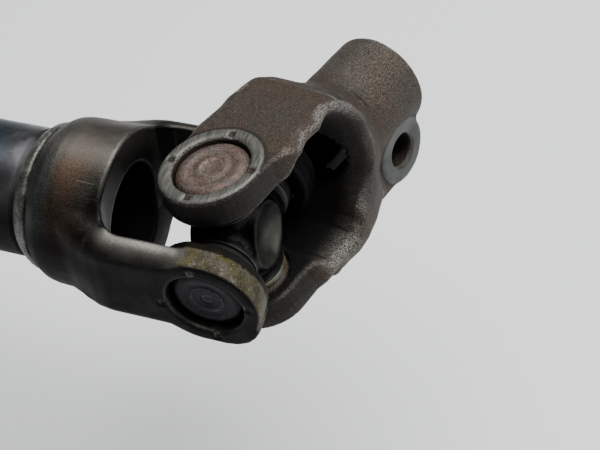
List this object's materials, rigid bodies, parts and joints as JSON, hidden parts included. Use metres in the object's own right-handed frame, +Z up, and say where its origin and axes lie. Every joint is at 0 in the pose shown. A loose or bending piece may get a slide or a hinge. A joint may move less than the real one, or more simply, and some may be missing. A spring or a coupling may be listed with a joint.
{
  "type": "universal joint shaft",
  "caption": "Sliding steering shaft: splined shaft in a tube, welded fork, needle-bearing cross and clamp yoke with an open pinch bolt hole.",
  "frame": {"origin": "centre of the slide shaft's free end face, on the shaft axis", "axes": "+X along the shaft from its free end to the joint, +Y along the fork pin away from the near ear, +Z up out of the fork's plane"},
  "size_m": [0.2564, 0.0776, 0.0444],
  "materials": {
    "ground_steel": "ground spline, light oil",
    "tube_steel": "dark drawn steel tube with heat tint",
    "nylon": "moulded nylon",
    "black_rubber": "moulded rubber",
    "pressed_steel": "pressed sheet steel",
    "weld_metal": "dull weld metal with oxide",
    "forged_steel": "forged and turned steel, dark satin with heat tint",
    "cast_steel": "rough grey-brown cast skin, machined ear rings and bolt face",
    "cross_steel": "dark hardened steel with grease",
    "cup_steel": "drawn steel cup, light rust",
    "needle_steel": "polished needles",
    "washer_nylon": "moulded nylon",
    "seal_rubber": "moulded rubber",
    "shield_steel": "pressed sheet steel"
  },
  "bodies": {
    "slide_shaft": {"slide_shaft": "ground_steel"},
    "fork_tube": {"shaft_tube": "tube_steel", "spline_sleeve": "nylon", "dust_seal": "black_rubber", "seal_retainer": "pressed_steel", "weld_bead": "weld_metal", "tube_fork": "forged_steel", "bearing_cup_fork_near": "cup_steel", "needle_ring_fork_near": "needle_steel", "thrust_washer_fork_near": "washer_nylon", "cup_seal_fork_near": "seal_rubber", "bearing_cup_fork_far": "cup_steel", "needle_ring_fork_far": "needle_steel", "thrust_washer_fork_far": "washer_nylon", "cup_seal_fork_far": "seal_rubber"},
    "cross": {"cross": "cross_steel", "trunnion_shield_fork_near": "shield_steel", "trunnion_shield_fork_far": "shield_steel", "trunnion_shield_yoke_upper": "shield_steel", "trunnion_shield_yoke_lower": "shield_steel"},
    "clamp_yoke": {"clamp_yoke": "cast_steel", "bearing_cup_yoke_upper": "cup_steel", "needle_ring_yoke_upper": "needle_steel", "thrust_washer_yoke_upper": "washer_nylon", "cup_seal_yoke_upper": "seal_rubber", "bearing_cup_yoke_lower": "cup_steel", "needle_ring_yoke_lower": "needle_steel", "thrust_washer_yoke_lower": "washer_nylon", "cup_seal_yoke_lower": "seal_rubber"}
  },
  "joints": [
    {"name": "shaft_slide", "type": "slide", "parent": "slide_shaft", "child": "fork_tube", "axis": [1, 0, 0], "range_m": [-0.02, 0.03]},
    {"name": "fork_pivot", "type": "hinge", "parent": "fork_tube", "child": "cross", "pos_m": [0.225, 0, 0], "axis": [0, 1, 0], "range_deg": [-6, 30]},
    {"name": "yoke_pivot", "type": "hinge", "parent": "cross", "child": "clamp_yoke", "pos_m": [0.225, 0, 0], "axis": [-0.2079, 0, 0.9781], "range_deg": [-143, 3.5]}
  ]
}
